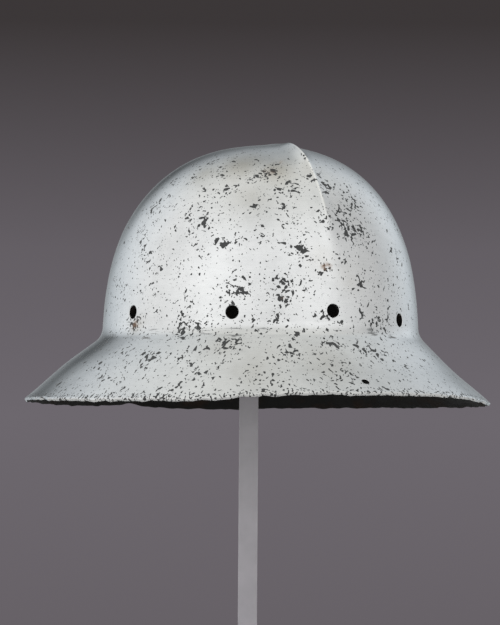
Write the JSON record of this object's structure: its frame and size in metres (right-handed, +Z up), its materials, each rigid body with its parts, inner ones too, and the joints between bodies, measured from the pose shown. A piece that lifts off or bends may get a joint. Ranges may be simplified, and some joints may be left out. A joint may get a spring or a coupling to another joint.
{
  "type": "siege helmet on a post stand",
  "caption": "Forged steel siege helmet: round keeled skull, hollow bend and wide sloping brim pierced with open lining holes, carried on a plain square post stand.",
  "frame": {"origin": "centre of the stand's foot, on the surface it stands on, under the post's axis", "axes": "+Z up along the post, -Y towards the wearer's face, +X towards the wearer's left"},
  "size_m": [0.3034, 0.3242, 0.3538],
  "materials": {
    "burnished_steel": "burnished, with black pitting, tarnish and a dark inside",
    "stand_grey": "satin grey paint",
    "head_felt": "dark felt glued over a turned block"
  },
  "bodies": {
    "root": {"helmet_shell": "burnished_steel", "stand_post": "stand_grey", "stand_head": "head_felt", "stand_base": "stand_grey"}
  },
  "joints": []
}
